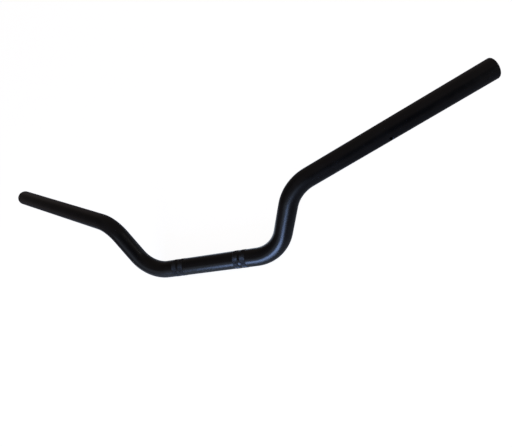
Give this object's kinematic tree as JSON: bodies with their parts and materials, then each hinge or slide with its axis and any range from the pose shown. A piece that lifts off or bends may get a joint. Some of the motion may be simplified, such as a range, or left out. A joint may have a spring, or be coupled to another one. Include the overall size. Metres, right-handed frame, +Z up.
{
  "type": "motorcycle handlebar",
  "caption": "Bent steel tube handlebar with knurled clamp bands, raised risers and swept-back grip arms, and rubber-mounted damper weights locked inside its ends.",
  "frame": {"origin": "middle of the clamp stretch, on the tube's axis", "axes": "+X along the clamp stretch towards the rider's left hand, +Y back towards the rider, +Z up with the grip arms level"},
  "size_m": [0.6834, 0.161, 0.0755],
  "materials": {
    "bar_finish": "satin black",
    "weight_steel": "zinc plated, turned",
    "ring_rubber": "matt black",
    "clip_steel": "spring strip"
  },
  "bodies": {
    "root": {"bar_tube": "bar_finish", "damper_weight_left": "weight_steel", "outer_rubber_ring_left": "ring_rubber", "inner_rubber_ring_left": "ring_rubber", "retainer_clip_left": "clip_steel", "damper_weight_right": "weight_steel", "outer_rubber_ring_right": "ring_rubber", "inner_rubber_ring_right": "ring_rubber", "retainer_clip_right": "clip_steel"}
  },
  "joints": []
}
